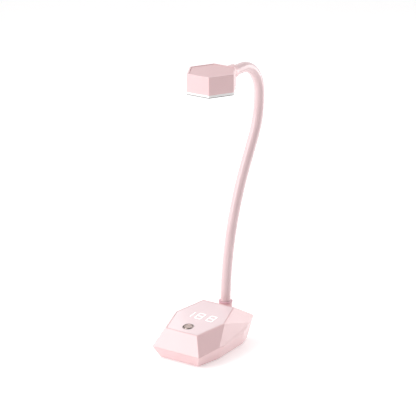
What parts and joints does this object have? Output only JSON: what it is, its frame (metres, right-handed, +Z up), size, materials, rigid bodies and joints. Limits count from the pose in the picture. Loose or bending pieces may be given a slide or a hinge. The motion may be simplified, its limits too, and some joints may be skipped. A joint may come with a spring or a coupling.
{
  "type": "document camera",
  "caption": "Goose-neck document camera: faceted base with a lit number display and a round button, a bendable sleeved neck, and a hexagonal head with camera and ring light.",
  "frame": {"origin": "on the resting plane under the base, in its left-right middle, 67 mm behind the front rim", "axes": "+X to the user's right, +Y to the rear, +Z up; the user sits on the -Y side"},
  "size_m": [0.0998, 0.2163, 0.4],
  "materials": {
    "blush_shell": "fine satin moulded ABS",
    "blush_panel": "satin gloss",
    "blush_silicone": "soft satin silicone",
    "rose_ring": "satin",
    "display_white": "lit white",
    "chrome": "polished",
    "satin_metal": "spun satin",
    "black_plastic": "matte",
    "black_metal": "matte anodised",
    "circuit_board": "solder resist",
    "white_board": "white solder resist",
    "cast_iron": "as cast",
    "battery_wrap": "heat-shrink film",
    "steel": "plated",
    "hose_steel": "wound wire",
    "wire_sheath": "matte",
    "pad_rubber": "matte",
    "diffuser_white": "frosted translucent",
    "grey_rim": "satin",
    "led_yellow": "phosphor",
    "sensor_glass": "polished",
    "lens_glass": "coated"
  },
  "bodies": {
    "base": {"anti_slip_pad": "pad_rubber", "base_housing": "blush_shell", "base_screws": "steel", "base_seal_ring": "rose_ring", "base_tray": "blush_shell", "battery": "battery_wrap", "button_bezel": "chrome", "button_switch": "black_plastic", "counterweight": "cast_iron", "display_digits": "display_white", "display_module": "black_plastic", "main_board": "circuit_board", "neck_base_collar": "blush_shell", "neck_hose_0": "hose_steel", "neck_leads_0": "wire_sheath", "neck_nut": "steel", "neck_sleeve_0": "blush_silicone", "touch_panel": "blush_panel", "usb_board": "circuit_board", "usb_socket": "steel"},
    "button": {"power_button": "satin_metal"},
    "neck_1": {"neck_sleeve_1": "blush_silicone", "neck_hose_1": "hose_steel", "neck_leads_1": "wire_sheath"},
    "neck_2": {"neck_sleeve_2": "blush_silicone", "neck_hose_2": "hose_steel", "neck_leads_2": "wire_sheath"},
    "neck_3": {"neck_sleeve_3": "blush_silicone", "neck_hose_3": "hose_steel", "neck_leads_3": "wire_sheath"},
    "neck_4": {"neck_sleeve_4": "blush_silicone", "neck_hose_4": "hose_steel", "neck_leads_4": "wire_sheath"},
    "neck_5": {"neck_sleeve_5": "blush_silicone", "neck_hose_5": "hose_steel", "neck_leads_5": "wire_sheath"},
    "neck_6": {"neck_sleeve_6": "blush_silicone", "neck_hose_6": "hose_steel", "neck_leads_6": "wire_sheath"},
    "head": {"camera_board": "circuit_board", "cover_glass": "lens_glass", "diffuser": "diffuser_white", "front_lens": "lens_glass", "head_housing": "blush_shell", "head_nut": "steel", "head_screws": "steel", "head_seal_ring": "rose_ring", "head_top_plate": "blush_shell", "image_sensor": "sensor_glass", "led_board": "white_board", "leds": "led_yellow", "lens_barrel": "black_metal", "lens_bezel": "black_plastic", "lens_holder": "black_plastic", "light_rim": "grey_rim", "neck_head_collar": "blush_shell", "neck_hose_7": "hose_steel", "neck_leads_7": "wire_sheath", "neck_sleeve_7": "blush_silicone"}
  },
  "joints": [
    {"name": "neck_root_bend", "type": "hinge", "parent": "base", "child": "neck_1", "pos_m": [0, 0.05885, 0.07598], "axis": [1, 0, 0], "range_deg": [-25, 25]},
    {"name": "neck_root_sway", "type": "hinge", "parent": "neck_1", "child": "neck_2", "pos_m": [0, 0.06279, 0.11175], "axis": [0, -0.988, 0.1543], "range_deg": [-20, 20]},
    {"name": "neck_middle_bend", "type": "hinge", "parent": "neck_2", "child": "neck_3", "pos_m": [0, 0.08364, 0.19091], "axis": [1, 0, 0], "range_deg": [-20, 22]},
    {"name": "neck_upper_bend", "type": "hinge", "parent": "neck_3", "child": "neck_4", "pos_m": [0, 0.12343, 0.27151], "axis": [1, 0, 0], "range_deg": [-25, 22]},
    {"name": "hook_bend", "type": "hinge", "parent": "neck_4", "child": "neck_5", "pos_m": [0, 0.13659, 0.36301], "axis": [1, 0, 0], "range_deg": [-25, 12]},
    {"name": "head_tilt", "type": "hinge", "parent": "neck_5", "child": "neck_6", "pos_m": [0, 0.11497, 0.38305], "axis": [1, 0, 0], "range_deg": [-25, 20]},
    {"name": "head_turn", "type": "hinge", "parent": "neck_6", "child": "head", "pos_m": [0, 0.08954, 0.38707], "axis": [0, 0, -1], "range_deg": [-25, 25]},
    {"name": "power_button_press", "type": "slide", "parent": "base", "child": "button", "axis": [0, 0.1214, -0.9926], "range_m": [0, 0.0008], "stiffness_N_per_m": 900, "springref_m": -0.0008}
  ]
}
